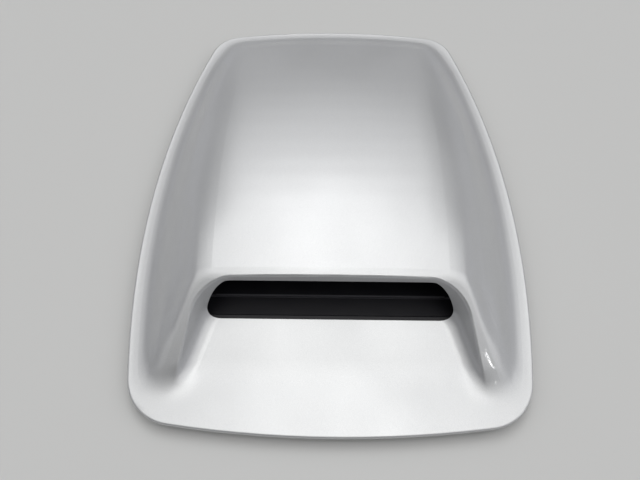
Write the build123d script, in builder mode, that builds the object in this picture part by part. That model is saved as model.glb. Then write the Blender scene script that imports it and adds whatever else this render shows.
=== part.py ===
"""Bonnet scoop: a painted moulding with a black air duct, a rubber seal and steel studs.

Millimetres. +Z is up and the mouth faces -Y. The origin lies in the seat plane, which is the
underside of the rubber seal, at the middle of the plan outline.
"""
import os
from math import cos, radians, sin, sqrt, tan

from build123d import *

# Plan outline of the flange, four arcs with rounded corners
overall_length = 698.0
overall_width = 551.0
widest_setback = 250.0  # from the front edge to the widest place
side_radius = 1240.0
front_radius = 1550.0
rear_radius = 1160.0
front_corner = 68.0
rear_corner = 54.0

# Wall, flange and rim
wall = 3.0
seal_height = 5.0
flange_width = 24.0
rim_drop = 2.5  # how far the rim hangs below the flange
rim_radius = 3.0

# Bulge over the flange
side_slope = 45.0
shoulder_radius = 75.0
tail_radius = 16.0
foot_radius = 24.0
crown_radius = 4000.0  # sideways curve of the roof
crown_half_angle = 5.0
crest_height = 80.0
crest_setback = 191.0  # from the front edge to the crest over the mouth
crest_radius = 32.0
nose_slope = 26.0
roof_mid_height = 62.0
roof_mid_setback = 259.0  # from the rear edge
roof_end_height = 8.0

# Mouth, with its lip and the ramp in front of it
mouth_setback = 150.0  # from the front edge to the rear edge of the ramp
lip_lean = 37.0  # how far the lip stands behind the ramp's edge
lip_height = 77.0
cheek_room = 106.0  # from the flange's side edge to the end of the lip
lip_corner = 64.0
lip_radius = 4.0
lip_depth = 9.5  # height of the turned-down face under the lip
lip_gap = 1.0  # from the turned-down face to the front of the mouth cut
pocket_flare = 20.5
pocket_draft = 14.0
ramp_room = 17.0  # from the foot of the nose line to the start of the ramp
ramp_radius = 240.0
ramp_slope = 8.4
ramp_overlap = 7.0  # how far the ramp runs into the cheeks
mouth_cut_room = 5.0  # from the end of the lip to the end of the mouth cut
hollow_setback = 66.0  # from the front edge to the hollow of the cheeks

# Air duct behind the mouth
duct_wall = 2.2
duct_gap = 0.8  # clearance to the shell
duct_side_room = 4.0  # from the lip's half width to the duct's inner side
duct_ground = 3.0  # underside of the duct floor over the seat plane
tongue_reach = 11.0  # how far the duct reaches under the ramp
tongue_strip = 7.0  # flat strip behind the ramp's edge
duct_fall = 4.0  # run of the sloping front of the duct floor
duct_rear_setback = 191.0  # from the ramp's edge to the duct's rear wall
duct_rear_radius = 45.0
dam_setback = 38.0  # from the ramp's edge to the cross rib
dam_height = 4.0
dam_width = 2.4
dam_room = 11.0  # from the end of the cross rib to the end of the lip
exit_front = 62.0  # from the ramp's edge to the exit opening
exit_length = 76.0
exit_half_width = 130.0
exit_corner = 6.0
gasket_width = 9.0
gasket_margin = 4.0

# Screws that hold the duct
ear_front_setback = 30.0  # from the ramp's edge
ear_rear_setback = 132.0
ear_room = 21.0  # from the duct's inner side to the screw
ear_radius = 9.0
screw_radius = 1.6
screw_head_radius = 3.6
screw_head_height = 2.0
screw_length = 12.0
pilot_gap = 0.1
pilot_spare = 1.5
screw_boss_radius = 5.0

# Studs that go through the bonnet
stud_radius = 3.0
stud_length = 15.0  # below the seat plane
stud_shank_radius = 2.6
stud_shank_length = 7.0
collar_radius = 6.5
collar_height = 2.0
collar_ground = 0.5
stud_tip_chamfer = 0.8
stud_boss_radius = 9.0
stud_inset_front = 44.0  # from the side edge of the flange
stud_inset_middle = 43.0
stud_inset_rear = 47.0
stud_front_setback = 77.0  # from the front edge
stud_middle_y = 5.0
stud_rear_setback = 72.0  # from the rear edge

# Rubber seal under the flange
seal_inset = 4.0
seal_width = 12.0
seal_rib_gap = 1.0
seal_rib_width = 2.5
seal_rib_height = 1.5

# Reach of the bodies that shape the bulge, past the part itself
tool_low = -60.0
pocket_low = -20.0
tool_over = 32.0
tool_reach = 51.0

half_width = overall_width / 2
front_y = -overall_length / 2
rear_y = overall_length / 2
widest_y = front_y + widest_setback
flange_bottom = seal_height
flange_top = flange_bottom + wall
mouth_y = front_y + mouth_setback
lip_y = mouth_y + lip_lean
lip_bottom = lip_height - lip_depth
lip_face_y = lip_y - lip_depth * tan(radians(pocket_draft)) - lip_gap
crest_y = front_y + crest_setback
nose_foot = crest_y - (crest_height - flange_top) / tan(radians(nose_slope))
ramp_start = nose_foot + ramp_room
tool_high = crest_height + tool_over
tool_front = front_y - tool_reach
tool_rear = rear_y + tool_reach
lip_half_width = half_width - cheek_room
duct_half_width = lip_half_width + duct_side_room
crown_tilt = radians(crown_half_angle)
crown_start = Plane(
    origin=(-crown_radius * sin(crown_tilt), 0, crown_radius * (cos(crown_tilt) - 1)),
    x_dir=(0, 1, 0),
    z_dir=(cos(crown_tilt), 0, sin(crown_tilt)),
)


def side_half(y, inset):
    """Half width of the plan at y, moved in by inset."""
    return half_width - side_radius + sqrt((side_radius - inset) ** 2 - (y - widest_y) ** 2)


def ramp_height(y):
    """Height of the straight part of the ramp at y."""
    turn = radians(ramp_slope)
    arc_end_y = ramp_start + ramp_radius * sin(turn)
    arc_end_height = flange_top + ramp_radius * (1 - cos(turn))
    return arc_end_height + (y - arc_end_y) * tan(turn)


def rim_outline(inset, height):
    """Plan outline of the flange, moved in by inset."""
    with BuildSketch(Plane.XY.offset(height)) as outline:
        with Locations((half_width - side_radius, widest_y)):
            Circle(side_radius - inset)
        with Locations((side_radius - half_width, widest_y)):
            Circle(side_radius - inset, mode=Mode.INTERSECT)
        with Locations((0, front_y + front_radius)):
            Circle(front_radius - inset, mode=Mode.INTERSECT)
        with Locations((0, rear_y - rear_radius)):
            Circle(rear_radius - inset, mode=Mode.INTERSECT)
        fillet(outline.vertices().group_by(Axis.Y)[0], front_corner - inset)
        fillet(outline.vertices().group_by(Axis.Y)[-1], rear_corner - inset)
    return outline.sketch


def ring(inset, width, height, thickness):
    """Strip along the plan outline."""
    with BuildPart() as strip:
        extrude(rim_outline(inset, height), amount=thickness)
        extrude(rim_outline(inset + width, height), amount=thickness, mode=Mode.SUBTRACT)
    return strip.part


def sloping_cone(radius, inset):
    """Cone whose sloping wall stands on a circle of the plan outline, moved in by inset."""
    low_inset = inset + (tool_low - flange_top) / tan(radians(side_slope))
    high_inset = inset + (tool_high - flange_top) / tan(radians(side_slope))
    with BuildPart() as cone:
        Cone(radius - low_inset, radius - high_inset, tool_high - tool_low)
    return cone.part


def crowned_block(side_view):
    """Side view swept across the car about the roof's sideways curve."""
    with BuildPart() as block:
        add(side_view)
        revolve(axis=Axis((0, 0, -crown_radius), (0, 1, 0)), revolution_arc=2 * crown_half_angle)
    return block.part


def roof_block(drop):
    """Everything under the roof line, lowered by drop."""
    crest = (crest_y, crest_height - drop)
    roof_mid = (rear_y - roof_mid_setback, roof_mid_height - drop)
    roof_end = (rear_y, roof_end_height - drop)
    level = LengthMode.HORIZONTAL
    with BuildSketch(crown_start) as side_view:
        with BuildLine():
            roof = ThreePointArc(crest, roof_mid, roof_end)
            lead = PolarLine(crest, crest_y - tool_front, direction=-(roof % 0), length_mode=level)
            tail = PolarLine(roof_end, tool_rear - rear_y, direction=roof % 1, length_mode=level)
            Polyline(tail @ 1, (tool_rear, 2 * tool_low), (tool_front, 2 * tool_low), lead @ 1)
        make_face()
    return crowned_block(side_view.sketch)


def nose_block(depth):
    """Everything behind and under the nose line, moved in by depth."""
    rise = tan(radians(nose_slope))
    crest = crest_height - depth / cos(radians(nose_slope))
    with BuildSketch(crown_start) as side_view:
        with BuildLine():
            Polyline(
                (tool_front, crest - (crest_y - tool_front) * rise),
                (tool_rear, crest + (tool_rear - crest_y) * rise),
                (tool_rear, 2 * tool_low),
                (tool_front, 2 * tool_low),
                close=True,
            )
        make_face()
    return crowned_block(side_view.sketch)


def bulge_block(depth):
    """Bulge with sloping sides and rear under the roof, rounded along its edges, moved in by depth."""
    inset = flange_width + depth / sin(radians(side_slope))
    middle = (tool_low + tool_high) / 2
    with BuildPart() as block:
        with Locations(Location((half_width - side_radius, widest_y, middle), (0, 0, 180))):
            add(sloping_cone(side_radius, inset))
        with Locations((side_radius - half_width, widest_y, middle)):
            add(sloping_cone(side_radius, inset), mode=Mode.INTERSECT)
        add(roof_block(depth), mode=Mode.INTERSECT)
        sides = block.faces().filter_by(lambda face: 0.3 < face.normal_at().Z < 0.8)
        roof = block.faces().filter_by(lambda face: face.normal_at().Z > 0.8)
        shoulders = roof.edges() & sides.edges()
        fillet(shoulders.sort_by(Axis.X), shoulder_radius - depth)
        add(nose_block(depth), mode=Mode.INTERSECT)
        upper = block.faces().filter_by(lambda face: face.normal_at().Z > 0.3)
        nose = upper.filter_by(lambda face: face.normal_at().Y < -0.1)
        crest = nose.edges() & (upper - nose).edges()
        fillet(crest.sort_by(Axis.X), crest_radius - depth)
        with Locations((0, rear_y - rear_radius, middle)):
            add(sloping_cone(rear_radius, inset), mode=Mode.INTERSECT)
        rear = block.faces().sort_by(Axis.Y)[-1]
        fillet(rear.edges().filter_by_position(Axis.Z, tool_low + wall, tool_high), tail_radius - depth)
    return block.part


def pocket_outline(grow, height):
    """Plan of the channel between the cheeks at a height."""
    flare = radians(pocket_flare)
    shift = grow + (height - lip_height) * tan(radians(pocket_draft))
    rear = lip_y + shift
    half = lip_half_width + shift * (1 / cos(flare) - tan(flare))
    front = tool_front - wall
    front_half = half + (rear - front) * tan(flare)
    with BuildSketch(Plane.XY.offset(height)) as outline:
        with BuildLine():
            Polyline((half, rear), (front_half, front), (-front_half, front), (-half, rear), close=True)
        make_face()
        fillet(outline.vertices().group_by(Axis.Y)[-1], lip_corner + shift)
    return outline.sketch


def pocket_block(grow):
    """Channel between the cheeks, with drafted walls."""
    with BuildPart() as block:
        loft([pocket_outline(grow, pocket_low), pocket_outline(grow, tool_high)], ruled=True)
    return block.part


def ramp_block(depth, closing_height):
    """Body between the ramp line, lowered by depth, and a level at closing_height."""
    with BuildPart() as block:
        with BuildSketch(Plane.YZ):
            with BuildLine():
                level = Line((tool_front, flange_top - depth), (ramp_start, flange_top - depth))
                bend = JernArc(level @ 1, (1, 0), ramp_radius + depth, ramp_slope)
                climb = PolarLine(bend @ 1, 2 * lip_lean + mouth_y - ramp_start, ramp_slope)
                Polyline(
                    climb @ 1,
                    ((climb @ 1).X, closing_height),
                    (tool_front, closing_height),
                    level @ 0,
                )
            make_face()
        extrude(amount=overall_width, both=True)
    return block.part


# Places of the studs and screws, left and right
stud_rows = [
    (front_y + stud_front_setback, stud_inset_front),
    (stud_middle_y, stud_inset_middle),
    (rear_y - stud_rear_setback, stud_inset_rear),
]
stud_places = [(side * side_half(y, inset), y) for y, inset in stud_rows for side in (-1, 1)]
ear_x = duct_half_width + ear_room
screw_rows = [mouth_y + ear_front_setback, mouth_y + ear_rear_setback]
screw_places = [(side * ear_x, y) for y in screw_rows for side in (-1, 1)]
boss_ground = collar_ground + collar_height
duct_floor = duct_ground + duct_wall
stud_steps = [
    (collar_ground, -stud_length, stud_radius),
    (boss_ground, collar_ground, collar_radius),
    (boss_ground + stud_shank_length, boss_ground, stud_shank_radius),
]

# The bulge with the channel cut out between the cheeks and the lip rounded
with BuildPart() as cheeks:
    add(bulge_block(0))
    split(bisect_by=Plane.XY.offset(pocket_low + wall), keep=Keep.TOP)
    add(pocket_block(0), mode=Mode.SUBTRACT)
    channel_walls = cheeks.faces().filter_by(lambda face: 0.1 < face.normal_at().Z < 0.3)
    skin = cheeks.faces().filter_by(lambda face: face.normal_at().Z > 0.3)
    lip = channel_walls.edges() & skin.edges()
    fillet(lip.sort_by(Axis.X), lip_radius)
    split(bisect_by=Plane.XY.offset(flange_bottom + wall / 2), keep=Keep.TOP)

# The ramp that rises from the flange to the mouth
with BuildPart() as ramp:
    add(ramp_block(0, flange_bottom + wall / 2))
    add(pocket_block(ramp_overlap), mode=Mode.INTERSECT)
    split(bisect_by=Plane.XZ.offset(-ramp_start), keep=Keep.BOTTOM)

# The channel's own walls, which stay when the bulge is hollowed
with BuildPart() as channel_shell:
    add(pocket_block(wall))
    add(ramp_block(wall, tool_high), mode=Mode.INTERSECT)

with BuildPart() as hollow:
    add(bulge_block(wall))
    split(bisect_by=Plane.XZ.offset(-front_y - hollow_setback), keep=Keep.BOTTOM)
    add(channel_shell.part, mode=Mode.SUBTRACT)

# The mouth opening, which leans back from the ramp's edge to the lip
with BuildPart() as mouth_cut:
    with BuildSketch(Plane.YZ):
        with BuildLine():
            Polyline(
                (mouth_y, tool_low),
                (mouth_y, ramp_height(mouth_y)),
                (lip_face_y, lip_bottom),
                (lip_y + 2 * wall, lip_bottom),
                (lip_y + 2 * wall, tool_low),
                close=True,
            )
        make_face()
    extrude(amount=lip_half_width + mouth_cut_room, both=True)

# Bosses on the underside, up into the wall
with BuildPart() as bosses:
    with BuildSketch(Plane.XY.offset(boss_ground)):
        with Locations(*stud_places):
            Circle(stud_boss_radius)
    extrude(amount=tool_high)
    with BuildSketch(Plane.XY.offset(duct_floor)):
        with Locations(*screw_places):
            Circle(screw_boss_radius)
    extrude(amount=tool_high)
    add(bulge_block(wall / 2), mode=Mode.INTERSECT)

with BuildPart() as scoop_shell:
    extrude(rim_outline(0, flange_bottom), amount=wall)
    add(cheeks.part)
    add(ramp.part)
    plate = scoop_shell.faces().filter_by(Plane.XY).group_by(Axis.Z)[-1].sort_by(SortBy.AREA)[-1]
    bend = scoop_shell.faces().filter_by(GeomType.CYLINDER).sort_by(SortBy.AREA)[-1]
    flats = scoop_shell.faces().filter_by(GeomType.PLANE)
    climb = flats.filter_by(lambda face: 0.9 < face.normal_at().Z < 0.999)[0]
    seams = (plate.edges() & bend.edges()) + (bend.edges() & climb.edges())
    rim_edges = plate.outer_wire().edges()
    foot = ShapeList(plate.edges() + bend.edges() + climb.edges()) - rim_edges - ShapeList(seams)
    fillet(foot.sort_by(Axis.X), foot_radius)
    add(ring(0, wall, flange_bottom - rim_drop, rim_drop))
    plate = scoop_shell.faces().filter_by(Plane.XY).group_by(Axis.Z)[-1].sort_by(SortBy.AREA)[-1]
    fillet(plate.outer_wire().edges(), rim_radius)
    add(hollow.part, mode=Mode.SUBTRACT)
    add(mouth_cut.part, mode=Mode.SUBTRACT)
    add(bosses.part)
    rib_inset = seal_inset + seal_width + seal_rib_gap
    add(ring(rib_inset, seal_rib_width, flange_bottom - seal_rib_height, seal_rib_height))
    with BuildSketch(Plane.XY.offset(boss_ground)):
        with Locations(*stud_places):
            Circle(stud_shank_radius + pilot_gap)
    extrude(amount=stud_shank_length + pilot_gap, mode=Mode.SUBTRACT)
    with BuildSketch(Plane.XY.offset(duct_floor)):
        with Locations(*screw_places):
            Circle(screw_radius + pilot_gap)
    extrude(amount=screw_length - duct_wall + pilot_spare, mode=Mode.SUBTRACT)

scoop_shell.part.label = "scoop_shell"

# The duct is an open tub: a tongue under the ramp, a falling front, a floor and a bent-up rear wall
with BuildPart() as air_duct:
    tongue_top = ramp_height(mouth_y - tongue_reach) - wall / cos(radians(ramp_slope)) - duct_gap
    tongue_front = mouth_y - tongue_reach
    fall_start = mouth_y + tongue_strip
    duct_rear = mouth_y + duct_rear_setback
    with BuildSketch(Plane.YZ):
        with BuildLine():
            floor_line = Polyline(
                (tongue_front, tongue_top),
                (fall_start, tongue_top),
                (fall_start + duct_fall, duct_floor),
                (duct_rear - duct_rear_radius, duct_floor),
            )
            bend_up = JernArc(floor_line @ 1, (1, 0), duct_rear_radius, 90)
            Polyline(bend_up @ 1, (duct_rear, tool_high), (tongue_front, tool_high), floor_line @ 0)
        make_face()
    extrude(amount=duct_half_width, both=True)
    offset(amount=duct_wall, openings=air_duct.faces().sort_by(Axis.Z)[-1], kind=Kind.INTERSECTION)
    with BuildSketch(Plane.YZ):
        with BuildLine():
            Polyline(
                (tongue_front - 2 * wall, tongue_top),
                (mouth_y + duct_gap, tongue_top),
                (mouth_y + 2 * duct_gap, ramp_height(mouth_y)),
                (lip_y + 2 * duct_gap, lip_bottom),
                (lip_y + 2 * wall, lip_bottom),
                (lip_y + 2 * wall, tool_high),
                (tongue_front - 2 * wall, tool_high),
                close=True,
            )
        make_face()
    extrude(amount=overall_width, both=True, mode=Mode.SUBTRACT)
    with BuildSketch(Plane.XY.offset(duct_ground)):
        for x, y in screw_places:
            with Locations((x, y)):
                Circle(ear_radius)
            with Locations((x - ear_room / 2 if x > 0 else x + ear_room / 2, y)):
                Rectangle(ear_room, 2 * ear_radius)
    extrude(amount=duct_wall)
    with BuildSketch(Plane.XY.offset(duct_floor)):
        with Locations((0, mouth_y + dam_setback)):
            Rectangle(2 * (lip_half_width - dam_room), dam_width)
    extrude(amount=dam_height)
    add(bulge_block(wall + duct_gap), mode=Mode.INTERSECT)
    with BuildSketch(Plane.XY.offset(duct_ground)):
        with Locations((0, mouth_y + exit_front + exit_length / 2)):
            RectangleRounded(2 * exit_half_width, exit_length, exit_corner)
        with Locations(*screw_places):
            Circle(screw_radius + pilot_gap)
    extrude(amount=duct_wall, mode=Mode.SUBTRACT)
air_duct.part.label = "air_duct"

with BuildPart() as perimeter_seal:
    add(ring(seal_inset, seal_width, 0, seal_height))
perimeter_seal.part.label = "perimeter_seal"

with BuildPart() as duct_gasket:
    with BuildSketch():
        with Locations((0, mouth_y + exit_front + exit_length / 2)):
            inner_half = exit_half_width + gasket_margin
            inner_length = exit_length + 2 * gasket_margin
            inner_corner = exit_corner + gasket_margin
            spread = 2 * gasket_width
            outer_corner = inner_corner + gasket_width
            RectangleRounded(2 * inner_half + spread, inner_length + spread, outer_corner)
            RectangleRounded(2 * inner_half, inner_length, inner_corner, mode=Mode.SUBTRACT)
    extrude(amount=duct_ground)
duct_gasket.part.label = "duct_gasket"

with BuildPart() as mounting_studs:
    for top, bottom, radius in stud_steps:
        with BuildSketch(Plane.XY.offset(bottom)):
            with Locations(*stud_places):
                Circle(radius)
        extrude(amount=top - bottom)
    tips = mounting_studs.faces().sort_by(Axis.Z)[: len(stud_places)]
    chamfer(tips.edges(), stud_tip_chamfer)
mounting_studs.part.label = "mounting_studs"

with BuildPart() as duct_screws:
    with BuildSketch(Plane.XY.offset(duct_ground - screw_head_height)):
        with Locations(*screw_places):
            Circle(screw_head_radius)
    extrude(amount=screw_head_height)
    heads = duct_screws.faces().sort_by(Axis.Z)[: len(screw_places)]
    chamfer(heads.edges(), screw_head_height / 2)
    with BuildSketch(Plane.XY.offset(duct_ground)):
        with Locations(*screw_places):
            Circle(screw_radius)
    extrude(amount=screw_length)
duct_screws.part.label = "duct_screws"

os.makedirs("parts", exist_ok=True)
for piece in (scoop_shell, air_duct, perimeter_seal, duct_gasket, mounting_studs, duct_screws):
    export_step(piece.part, f"parts/{piece.part.label}.step")
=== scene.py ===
"""Looks of the bonnet scoop: silver paint on a softly blended shell, a black duct, a pale studio."""
from math import cos, radians, sin

import bmesh
import bpy
import numpy as np
from mathutils import Matrix, Vector
from mathutils.bvhtree import BVHTree


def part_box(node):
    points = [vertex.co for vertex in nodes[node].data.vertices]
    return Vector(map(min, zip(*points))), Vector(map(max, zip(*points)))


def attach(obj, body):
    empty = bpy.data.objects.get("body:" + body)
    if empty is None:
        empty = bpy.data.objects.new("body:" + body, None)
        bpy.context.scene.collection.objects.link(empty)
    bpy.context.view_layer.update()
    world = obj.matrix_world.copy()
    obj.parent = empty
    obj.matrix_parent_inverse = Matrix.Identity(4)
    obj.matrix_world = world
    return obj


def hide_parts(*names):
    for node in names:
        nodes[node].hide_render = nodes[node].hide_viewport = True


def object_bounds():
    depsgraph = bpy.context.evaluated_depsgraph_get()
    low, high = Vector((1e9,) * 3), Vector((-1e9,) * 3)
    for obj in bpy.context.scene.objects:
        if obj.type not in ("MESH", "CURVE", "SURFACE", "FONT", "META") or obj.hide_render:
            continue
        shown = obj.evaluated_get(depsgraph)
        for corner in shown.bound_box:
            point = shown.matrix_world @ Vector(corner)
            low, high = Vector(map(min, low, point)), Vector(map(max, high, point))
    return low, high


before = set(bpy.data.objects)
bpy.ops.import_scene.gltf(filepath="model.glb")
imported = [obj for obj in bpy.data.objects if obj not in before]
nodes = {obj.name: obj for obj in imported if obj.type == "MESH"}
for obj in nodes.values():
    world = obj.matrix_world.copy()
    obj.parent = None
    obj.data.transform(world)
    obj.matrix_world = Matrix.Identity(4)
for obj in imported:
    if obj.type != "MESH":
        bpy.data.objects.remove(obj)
cad_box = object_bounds()

# Lengths are in metres, colours are linear

# Camera, at the photograph's place: look-down angle, heading, roll and position
LOOK_DOWN = radians(62.5)
HEADING = radians(-1.37)
ROLL = radians(0.64)
CAMERA_PLACE = Vector((-0.0060, -0.4504, 0.7321))
FOCAL_PIXELS = 560
IMAGE_WIDTH = 640
SENSOR_MM = 36.0

# Floor
FLOOR_COLOUR = (0.62, 0.62, 0.615, 1)
FLOOR_ROUGHNESS = 0.9
FLOOR_HALF = 6.0

# Soft glows of the studio sky: tilt from overhead, heading (0 is +X, 90 is +Y) and half width in degrees,
# and strength, which was matched to the photograph's brightness and rounded
NARROW = 20
WIDE = 45
GLOWS = {
    "overhead": (0, 0, NARROW, 1.65),
    "back": (30, 90, NARROW, 3.0),
    "back, lower": (45, 90, NARROW, 0.85),
    "front": (30, -90, NARROW, 0.2),
    "right": (30, 0, WIDE, 1.15),
    "left": (30, 180, WIDE, 0.85),
    "low right": (60, 0, WIDE, 0.15),
    "low back right": (60, 45, WIDE, 0.1),
    "low front right": (60, -45, WIDE, 0.2),
    "low back left": (60, 135, WIDE, 0.2),
}
SKY_LOW = (0.965, 0.975, 1.035, 1)
SKY_HIGH = (1.0, 1.0, 0.985, 1)

# Pale backdrop low around the studio: sine of the elevation where its fade ends, and how pale it is
BACKDROP_TOP = 0.42
BACKDROP_STRENGTH = 0.52

# Strip lamp: the point that it lights, the way from there to the lamp, its distance, size and power
STRIP_AIM = Vector((0.209, -0.258, 0.025))
STRIP_WAY = Vector((0.36, -0.56, 0.745))
STRIP_DISTANCE = 1.6
STRIP_LENGTH = 0.09
STRIP_WIDTH = 0.012
STRIP_WATTS = 0.1

# Plan grid over the shell: its spacing, how far it goes beyond the shell, and the height it is seen from
GRID = 0.002
GRID_MARGIN = 0.03
EYE_HEIGHT = 1

# Sanded blends of the shell: reach of the smoothing at the foot and at the shoulder, the heights between
# which the second takes over, and the reaches that the bell curve of the smoothing has on each side
FOOT_REACH = 0.009
SHOULDER_REACH = 0.021
SHOULDER_LOW = 0.025
SHOULDER_HIGH = 0.050
BELL_REACHES = 3

# The rim, which stays as it is: reach of the smoothing that finds it, the shares of shell between which
# the sanding sets in, and the shares that mark the flange beside it
RIM_REACH = 0.006
RIM_SHARE = (0.8, 0.98)
FLANGE_SHARE = (0.8, 0.95)

# Depths under the top: between which the sanding fades out above bosses and ribs, and where the underside
# begins. The underside sinks only as far as the top's height over the duct is more than DUCT_ROOM
BOSS_DEPTH = (0.006, 0.009)
UNDER_DEPTH = 0.0015
DUCT_ROOM = 0.0045
NO_LIMIT = 1.0

# The mouth and its pocket, which stay as they are: half width, lip, flare, back and front, and the fades
POCKET_HALF = 0.172
POCKET_LIP = -0.162
POCKET_FLARE = 0.374
POCKET_BACK = -0.125
POCKET_FRONT = -0.262
SIDE_FADE = 0.030
BACK_FADE = 0.110
FRONT_FADE = 0.025

# The toes' tips, where the skin takes the smoothed form itself
TOE_BACK = -0.268
TOE_END = -0.325
TOE_SIDE = 0.250
TOE_FADE = 0.016

# Edges of the shell's mesh: the longest that stays whole, rounds of cutting, and what counts as one point
EDGE_LIMIT = 0.0095
EDGE_PASSES = 7
MERGE_DISTANCE = 1e-6

# Paint, and the bare underside with the values of the normal's Z between which it gives way to paint. The
# same dark falls on downward-facing painted faces, such as the lip's lower rounding, as painted shade
PAINT_DARK = (0.53, 0.535, 0.545, 1)
PAINT_LIGHT = (0.68, 0.685, 0.69, 1)
PAINT_METALLIC = 0.9
BARE_AND_SHADE_DARK = (0.035, 0.036, 0.038, 1)
BARE_AND_SHADE_LIGHT = (0.06, 0.061, 0.063, 1)
BARE_AND_SHADE_FACING = (-0.65, -0.45)

# Duct, black plastic made darker as painted shade inside the mouth, with a painted highlight on the top
# edge of its cross rib and a painted lit strip behind the lower lip
# Painted shade: the duct's black is darker and bluer than the plastic alone, standing in for the shade
# inside the mouth
DUCT_DARK = (0.0042, 0.004, 0.0068, 1)
DUCT_LIGHT = (0.0064, 0.0062, 0.009, 1)
# Painted highlight: a lighter band along the top edge of the duct's cross rib, where the edge would catch
# light
RIB_HIGHLIGHT_COLOUR = (0.06, 0.06, 0.068, 1)
RIB_HIGHLIGHT_PLACE = -0.161
RIB_HIGHLIGHT_HALF = 0.0014
# Painted light: a lighter strip on the duct just behind the lower lip, where its near edge would catch
# light
LIP_STRIP_LIGHT_COLOUR = (0.024, 0.0235, 0.026, 1)
LIP_STRIP_LIGHT_PLACE = -0.1975
LIP_STRIP_LIGHT_HALF = 0.0058
EDGE_SOFT = 0.0006

# Seal, gasket, studs and screws
RUBBER_DARK = (0.018, 0.018, 0.02, 1)
RUBBER_LIGHT = (0.04, 0.04, 0.04, 1)
FOAM_DARK = (0.03, 0.03, 0.032, 1)
FOAM_LIGHT = (0.07, 0.07, 0.07, 1)
DUST_ROUGHENS = 0.15
STUD_COLOUR = (0.62, 0.6, 0.54, 1)
STUD_WORN = (0.5, 0.48, 0.42, 1)
SCREW_COLOUR = (0.2, 0.2, 0.21, 1)
SCREW_WORN = (0.13, 0.13, 0.14, 1)


# Form of the shell

def smooth_step(value, low=0, high=1):
    """0 below low, 1 above high, and a soft step between them."""
    share = np.clip((value - low) / (high - low), 0, 1)
    return share * share * (3 - 2 * share)


def blurred(field, reach):
    """Field smoothed by a bell curve of that reach in metres."""
    steps = int(BELL_REACHES * reach / GRID)
    weights = np.exp(-0.5 * (np.arange(-steps, steps + 1) * GRID / reach) ** 2)
    weights /= weights.sum()
    for axis in (0, 1):
        size = field.shape[axis]
        padding = [(steps, steps) if axis == side else (0, 0) for side in (0, 1)]
        padded = np.pad(field, padding, mode="edge")
        field = sum(w * np.take(padded, np.arange(i, i + size), axis=axis) for i, w in enumerate(weights))
    return field


def seen_from_above(node, across, along):
    """Heights of a node over a plan grid, and where it lies."""
    mesh = nodes[node].data
    tree = BVHTree.FromPolygons([v.co for v in mesh.vertices], [p.vertices for p in mesh.polygons])
    down = Vector((0, 0, -1))
    hits = [[tree.ray_cast(Vector((x, y, EYE_HEIGHT)), down)[0] for y in along] for x in across]
    heights = np.array([[hit.z if hit else 0.0 for hit in row] for row in hits])
    return heights, np.array([[hit is not None for hit in row] for row in hits])


def away_from_mouth(x, y):
    """0 in the mouth and its pocket, 1 away from them."""
    half = POCKET_HALF + POCKET_FLARE * np.maximum(0, POCKET_LIP - y)
    sides = np.maximum((abs(x) - half) / SIDE_FADE, (POCKET_FRONT - y) / FRONT_FADE)
    return smooth_step(np.maximum(sides, (y - POCKET_BACK) / BACK_FADE))


def toe_share(places):
    """1 at the toes' tips, 0 away from them."""
    x, y = abs(places[:, 0]), places[:, 1]
    edges = (TOE_BACK - y, y - TOE_END, TOE_SIDE - x)
    return np.prod([smooth_step(edge, 0, TOE_FADE) for edge in edges], axis=0)


class Sanding:
    """Rise and fall of the shell's skin where its edges are blended by hand, over a plan grid.

    The underside sinks less above the duct. Each field is kept with its slopes along X and Y.
    """

    def __init__(self):
        low, high = (np.array(corner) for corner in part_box("scoop_shell"))
        self.start = low[:2] - GRID_MARGIN
        across, along = (
            np.arange(self.start[side], high[side] + GRID_MARGIN, GRID) for side in (0, 1)
        )
        self.top, inside = seen_from_above("scoop_shell", across, along)
        duct, covered = seen_from_above("air_duct", across, along)
        share = blurred(inside.astype(float), RIM_REACH)
        flange = inside & (share > FLANGE_SHARE[0]) & (share < FLANGE_SHARE[1])
        self.top[~inside] = np.median(self.top[flange])
        foot = blurred(self.top, FOOT_REACH) - self.top
        shoulder = blurred(self.top, SHOULDER_REACH) - self.top
        raised = smooth_step(self.top, SHOULDER_LOW, SHOULDER_HIGH)
        free = smooth_step(share, *RIM_SHARE) * away_from_mouth(across[:, None], along[None, :])
        rise = free * (foot + raised * (shoulder - foot))
        room = np.where(covered, np.maximum(0, self.top - duct - DUCT_ROOM), NO_LIMIT)
        self.form, self.outer, self.inner = (
            (field, *np.gradient(field, GRID))
            for field in (self.top + rise, rise, np.maximum(rise, -room))
        )

    def read(self, field, places):
        """Field at plan places, between its grid points."""
        at = (places[:, :2] - self.start) / GRID
        cell = np.floor(at).astype(int)
        part = at - cell
        value = 0
        for i in (0, 1):
            for j in (0, 1):
                weight = abs(1 - i - part[:, 0]) * abs(1 - j - part[:, 1])
                value = value + weight * field[cell[:, 0] + i, cell[:, 1] + j]
        return value

    def move(self, places):
        """Rise and its two slopes in the skin of the shell, and none in the bosses and ribs under it."""
        depth = self.read(self.top, places) - places[:, 2]
        skin = 1 - smooth_step(depth, *BOSS_DEPTH)
        return [
            skin * np.where(depth > UNDER_DEPTH, self.read(inner, places), self.read(outer, places))
            for outer, inner in zip(self.outer, self.inner)
        ]


def unit_rows(rows):
    """Rows scaled to a length of 1."""
    return rows / np.linalg.norm(rows, axis=1)[:, None]


def read_all(values, name, width):
    """One property of every item of a mesh, as rows."""
    flat = np.empty(len(values) * width)
    values.foreach_get(name, flat)
    return flat.reshape(-1, width)


def cut_long_edges(mesh):
    """Join points of the mesh that coincide, and divide the edges that are too long to bend."""
    work = bmesh.new()
    work.from_mesh(mesh)
    bmesh.ops.remove_doubles(work, verts=work.verts, dist=MERGE_DISTANCE)
    for _ in range(EDGE_PASSES):
        long_edges = [edge for edge in work.edges if edge.calc_length() > EDGE_LIMIT]
        bmesh.ops.subdivide_edges(work, edges=long_edges, cuts=1)
        bmesh.ops.triangulate(work, faces=[face for face in work.faces if len(face.verts) > 3])
    work.to_mesh(mesh)
    work.free()


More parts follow.
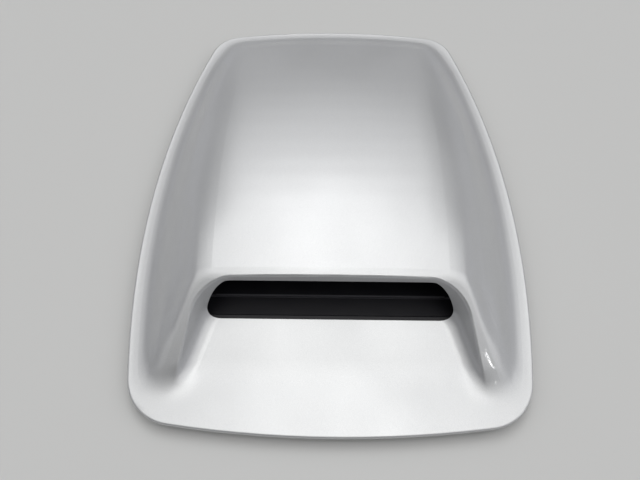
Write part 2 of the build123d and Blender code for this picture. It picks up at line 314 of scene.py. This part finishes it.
def shell_copy():
    """Copy of the shell's mesh with its long edges cut, and the normals of the copy's corners."""
    mesh = nodes["scoop_shell"].data.copy()
    mesh.name = "painted_shell"
    kept = mesh.attributes.new("kept_normal", "FLOAT_VECTOR", "CORNER")
    kept.data.foreach_set("vector", read_all(mesh.corner_normals, "vector", 3).ravel())
    cut_long_edges(mesh)
    normals = read_all(mesh.attributes["kept_normal"].data, "vector", 3)
    mesh.attributes.remove(mesh.attributes["kept_normal"])
    return mesh, normals


def sand(mesh, normals):
    """Move the mesh's points to the blended form, and return the normals that go with it."""
    sanding = Sanding()
    places = read_all(mesh.vertices, "co", 3)
    corner = read_all(mesh.loops, "vertex_index", 1).astype(int)[:, 0]
    upward = np.bincount(corner, normals[:, 2], len(places)) > 0
    toe = upward * toe_share(places)
    rise, *slopes = sanding.move(places)
    form, *form_slopes = (sanding.read(field, places) for field in sanding.form)
    places[:, 2] += rise + toe * (form - places[:, 2] - rise)
    mesh.vertices.foreach_set("co", places.ravel())
    for side in (0, 1):
        normals[:, side] -= slopes[side][corner] * normals[:, 2]
    facing = np.column_stack([-form_slopes[0], -form_slopes[1], np.ones(len(places))])[corner]
    share = toe[corner][:, None]
    return unit_rows((1 - share) * unit_rows(normals) + share * unit_rows(facing))


def cover(mesh, material):
    """Give the whole mesh one material."""
    mesh.materials.clear()
    mesh.materials.append(material)


def sanded_shell(material):
    """The shell with its shoulders, feet and toes blended as by hand."""
    mesh, normals = shell_copy()
    normals = sand(mesh, normals)
    mesh.polygons.foreach_set("use_smooth", np.ones(len(mesh.polygons), dtype=bool))
    mesh.normals_split_custom_set(normals.tolist())
    cover(mesh, material)
    shell = bpy.data.objects.new("painted_shell", mesh)
    bpy.context.collection.objects.link(shell)
    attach(shell, "root")
    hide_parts("scoop_shell")


# Materials

class Nodes:
    """A node tree with short helpers for adding and joining nodes."""

    def __init__(self, tree):
        self.tree = tree

    def give(self, value, socket):
        """Set an input to a constant, or join it to another node's output."""
        if isinstance(value, bpy.types.NodeSocket):
            self.tree.links.new(value, socket)
        else:
            socket.default_value = value

    def node(self, kind, **settings):
        """New node with its named inputs and settings."""
        made = self.tree.nodes.new("ShaderNode" + kind)
        for name, value in settings.items():
            if name in made.inputs:
                self.give(value, made.inputs[name])
            else:
                setattr(made, name, value)
        return made

    def math(self, operation, *values):
        """Result of one operation on constants or other nodes' outputs."""
        made = self.node("Math", operation=operation)
        for value, socket in zip(values, made.inputs):
            self.give(value, socket)
        return made.outputs["Value"]

    def ramp(self, value, start, end, at_start=0.0, at_end=1.0, interpolation="LINEAR"):
        """Value mapped from one range to another, held at the ends."""
        mapping = self.node("MapRange", interpolation_type=interpolation, Value=value)
        limits = {"From Min": start, "From Max": end, "To Min": at_start, "To Max": at_end}
        for name, limit in limits.items():
            mapping.inputs[name].default_value = limit
        return mapping.outputs["Result"]

    def part(self, vector, axis):
        """One coordinate of a vector."""
        return self.node("SeparateXYZ", Vector=vector).outputs[axis]


class Shading(Nodes):
    """A material, with helpers for its patterns."""

    def __init__(self, name):
        self.material = bpy.data.materials.new(name)
        self.material.use_nodes = True
        super().__init__(self.material.node_tree)
        self.shader = self.tree.nodes["Principled BSDF"]

    def set(self, **values):
        """Set the shader's inputs to constants or to other nodes' outputs."""
        for name, value in values.items():
            self.give(value, self.shader.inputs[name.replace("_", " ")])

    def place(self):
        """Place on the object, in metres."""
        return self.node("TexCoord").outputs["Object"]

    def noise(self, scale, detail):
        """Noise over the object, its scale in waves per metre."""
        return self.node("TexNoise", Scale=scale, Detail=detail, Vector=self.place()).outputs["Fac"]

    def patches(self, scale, detail, start, end):
        """Patches: 0 where the noise is below start, 1 where it is above end."""
        return self.ramp(self.noise(scale, detail), start, end)

    def mix(self, factor, first, second):
        """Colour between two colours, each a constant or another node's output."""
        mixing = self.node("Mix", data_type="RGBA", Factor=factor)
        ends = [socket for socket in mixing.inputs if socket.type == "RGBA"]
        for colour, socket in zip((first, second), ends):
            self.give(colour, socket)
        return [output for output in mixing.outputs if output.type == "RGBA"][0]

    def band(self, value, centre, half):
        """1 where the value lies within half of the centre, 0 outside."""
        distance = self.math("ABSOLUTE", self.math("SUBTRACT", value, centre))
        return self.ramp(distance, half, half + EDGE_SOFT, at_start=1.0, at_end=0.0)

    def bump(self, height, strength, distance):
        """Normal of a fine relief."""
        return self.node("Bump", Strength=strength, Distance=distance, Height=height).outputs["Normal"]


def silver_paint():
    """Metallic flake base under a clear coat with a faint orange peel, and a dark underside that is bare
    plastic and also painted shade on downward-facing painted faces.
    """
    look = Shading("silver_paint")
    flake = look.noise(scale=2600.0, detail=1.0)
    cloud = look.noise(scale=9.0, detail=3.0)
    peel = look.noise(scale=260.0, detail=2.0)
    paint = look.mix(look.ramp(flake, start=0.3, end=0.7), PAINT_DARK, PAINT_LIGHT)
    bare_and_shade = look.mix(cloud, BARE_AND_SHADE_DARK, BARE_AND_SHADE_LIGHT)
    facing = look.part(look.node("NewGeometry").outputs["Normal"], "Z")
    # Downward-facing faces: the bare underside, and painted shade on the painted lip's lower rounding
    under = look.ramp(facing, *BARE_AND_SHADE_FACING, at_start=1.0, at_end=0.0)
    look.set(
        Base_Color=look.mix(under, paint, bare_and_shade),
        Metallic=look.ramp(under, start=0.0, end=1.0, at_start=PAINT_METALLIC, at_end=0.0),
        Roughness=look.ramp(cloud, start=0.3, end=0.7, at_start=0.47, at_end=0.53),
        Normal=look.bump(flake, strength=0.05, distance=0.0003),
        Coat_Weight=1.0,
        Coat_Roughness=0.04,
        Coat_IOR=1.5,
        Coat_Normal=look.bump(peel, strength=0.03, distance=0.0006),
    )
    return look.material


def duct_plastic():
    """Black plastic made darker as painted shade, with a painted highlight along the cross rib and a
    painted lit strip behind the lower lip.
    """
    look = Shading("black_plastic")
    patch = look.patches(scale=30.0, detail=4.0, start=0.4, end=0.7)
    depth = look.part(look.place(), "Y")
    # Black plastic darkened as painted shade inside the mouth
    colour = look.mix(patch, DUCT_DARK, DUCT_LIGHT)
    # Painted highlight along the top edge of the cross rib
    colour = look.mix(look.band(depth, RIB_HIGHLIGHT_PLACE, RIB_HIGHLIGHT_HALF), colour, RIB_HIGHLIGHT_COLOUR)
    # Painted light on the strip behind the lower lip
    colour = look.mix(look.band(depth, LIP_STRIP_LIGHT_PLACE, LIP_STRIP_LIGHT_HALF), colour, LIP_STRIP_LIGHT_COLOUR)
    look.set(
        Base_Color=colour,
        Specular_IOR_Level=0.3,
        Roughness=look.ramp(patch, start=0.0, end=1.0, at_start=0.5, at_end=0.62),
        Normal=look.bump(look.noise(scale=900.0, detail=3.0), strength=0.4, distance=0.0002),
    )
    return look.material


def dusty_rubber(name, dark, light, roughness, grain, depth):
    """Rubber or foam with a fine grain and a little dust."""
    look = Shading(name)
    dust = look.patches(scale=30.0, detail=4.0, start=0.45, end=0.75)
    dusty = roughness + DUST_ROUGHENS
    look.set(
        Base_Color=look.mix(dust, dark, light),
        Roughness=look.ramp(dust, start=0.0, end=1.0, at_start=roughness, at_end=dusty),
        Normal=look.bump(look.noise(scale=grain, detail=3.0), strength=0.4, distance=depth),
    )
    return look.material


def plated_steel(name, colour, worn):
    """Plated steel with a mottled surface."""
    look = Shading(name)
    mottle = look.patches(scale=220.0, detail=3.0, start=0.35, end=0.65)
    look.set(
        Base_Color=look.mix(mottle, colour, worn),
        Metallic=1.0,
        Roughness=look.ramp(mottle, start=0.0, end=1.0, at_start=0.28, at_end=0.45),
        Normal=look.bump(look.noise(scale=900.0, detail=2.0), strength=0.15, distance=0.0001),
    )
    return look.material


def dress_part():
    """Give every piece of the part its look."""
    sanded_shell(silver_paint())
    rubber = {"roughness": 0.75, "grain": 500.0, "depth": 0.0003}
    foam = {"roughness": 0.9, "grain": 700.0, "depth": 0.0006}
    looks = {
        "air_duct": duct_plastic(),
        "perimeter_seal": dusty_rubber("seal_rubber", RUBBER_DARK, RUBBER_LIGHT, **rubber),
        "duct_gasket": dusty_rubber("gasket_foam", FOAM_DARK, FOAM_LIGHT, **foam),
        "mounting_studs": plated_steel("plated_steel", STUD_COLOUR, STUD_WORN),
        "duct_screws": plated_steel("screw_steel", SCREW_COLOUR, SCREW_WORN),
    }
    for node, material in looks.items():
        cover(nodes[node].data, material)


# Studio

def add_floor():
    """Large pale floor under the lowest point of the part."""
    level = cad_box[0][2]
    corners = [(x * FLOOR_HALF, y * FLOOR_HALF, level) for x, y in ((-1, -1), (1, -1), (1, 1), (-1, 1))]
    mesh = bpy.data.meshes.new("floor")
    mesh.from_pydata(corners, [], [(0, 1, 2, 3)])
    floor = bpy.data.objects.new("floor", mesh)
    bpy.context.collection.objects.link(floor)
    look = Shading("floor")
    look.set(Base_Color=FLOOR_COLOUR, Roughness=FLOOR_ROUGHNESS)
    cover(mesh, look.material)


def add_strip():
    """Small strip lamp, seen as a streak in the clear coat of the right cheek."""
    lamp = bpy.data.lights.new("strip", "AREA")
    lamp.shape = "RECTANGLE"
    lamp.size = STRIP_WIDTH
    lamp.size_y = STRIP_LENGTH
    lamp.energy = STRIP_WATTS
    strip = bpy.data.objects.new("strip", lamp)
    strip.location = STRIP_AIM + STRIP_WAY * STRIP_DISTANCE
    strip.rotation_euler = STRIP_WAY.to_track_quat("Z", "Y").to_euler()
    bpy.context.collection.objects.link(strip)


def glow(sky, way, tilt, heading, half_width, strength):
    """Brightness of one soft glow along each way of the sky."""
    flat = sin(radians(tilt))
    dot = sky.node("VectorMath", operation="DOT_PRODUCT")
    sky.give(way, dot.inputs[0])
    dot.inputs[1].default_value = (
        flat * cos(radians(heading)),
        flat * sin(radians(heading)),
        cos(radians(tilt)),
    )
    edge = cos(radians(half_width))
    return sky.ramp(dot.outputs["Value"], edge, 1.0, at_end=strength, interpolation="SMOOTHSTEP")


def add_world():
    """Studio sky made of the soft glows, over a pale backdrop that only shows and mirrors."""
    world = bpy.data.worlds.new("studio")
    world.use_nodes = True
    sky = Nodes(world.node_tree)
    way = sky.node("TexCoord").outputs["Generated"]
    height = sky.part(way, "Z")
    tint = sky.node("ValToRGB", Fac=height)
    for stop, colour in zip(tint.color_ramp.elements, (SKY_LOW, SKY_HIGH)):
        stop.color = colour
    strength = 0.0
    for place in GLOWS.values():
        strength = sky.math("ADD", strength, glow(sky, way, *place))
    backdrop = sky.ramp(height, 0.0, BACKDROP_TOP, BACKDROP_STRENGTH, 0.0, interpolation="SMOOTHSTEP")
    rays = sky.node("LightPath").outputs
    for ray in ("Is Camera Ray", "Is Glossy Ray", "Is Transmission Ray"):
        strength = sky.math("MULTIPLY_ADD", rays[ray], backdrop, strength)
    background = sky.tree.nodes["Background"]
    sky.give(tint.outputs["Color"], background.inputs["Color"])
    sky.give(strength, background.inputs["Strength"])
    bpy.context.scene.world = world


def add_camera():
    """Camera with the photograph's place, aim and angle of view."""
    forward = Vector((sin(HEADING) * cos(LOOK_DOWN), cos(HEADING) * cos(LOOK_DOWN), -sin(LOOK_DOWN)))
    level = Vector((cos(HEADING), -sin(HEADING), 0))
    down = forward.cross(level)
    right = level * cos(ROLL) + down * sin(ROLL)
    down = down * cos(ROLL) - level * sin(ROLL)
    data = bpy.data.cameras.new("camera")
    data.sensor_width = SENSOR_MM
    data.lens = FOCAL_PIXELS / IMAGE_WIDTH * SENSOR_MM
    camera = bpy.data.objects.new("camera", data)
    turn = Matrix((right, -down, -forward)).transposed().to_4x4()
    camera.matrix_world = Matrix.Translation(CAMERA_PLACE) @ turn
    bpy.context.collection.objects.link(camera)
    bpy.context.scene.camera = camera


dress_part()
add_floor()
add_strip()
add_world()
add_camera()
bpy.context.scene.view_settings.view_transform = "Standard"
